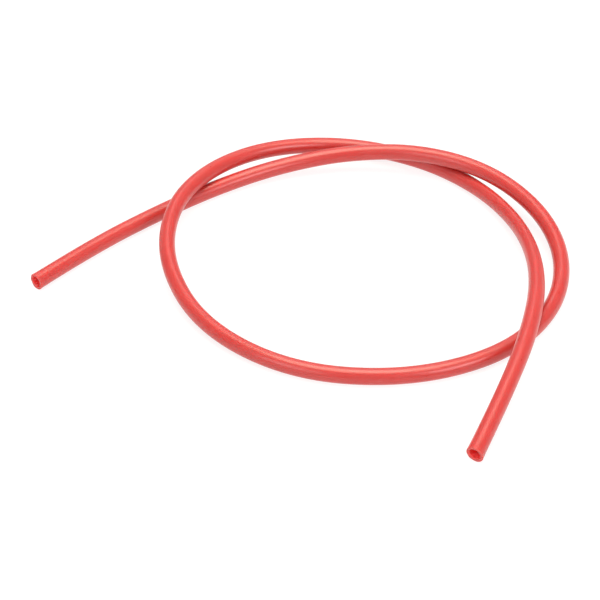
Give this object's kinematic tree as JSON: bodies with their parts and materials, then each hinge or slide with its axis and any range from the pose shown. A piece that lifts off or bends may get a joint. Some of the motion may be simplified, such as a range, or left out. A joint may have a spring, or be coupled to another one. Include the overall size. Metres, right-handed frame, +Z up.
{
  "type": "rubber tubing",
  "caption": "A length of thin-walled round rubber tubing, open right through, lying in a loose overhand loop with both cut ends free.",
  "frame": {"origin": "on the table, below the middle of the loop's bounding box", "axes": "+Z up from the table the tubing lies on; +X to the right and +Y away, seen from the side both cut ends point towards"},
  "size_m": [0.2896, 0.2689, 0.0183],
  "materials": {
    "red_rubber": "smooth satin red rubber"
  },
  "bodies": {
    "root": {"tubing": "red_rubber"}
  },
  "joints": []
}
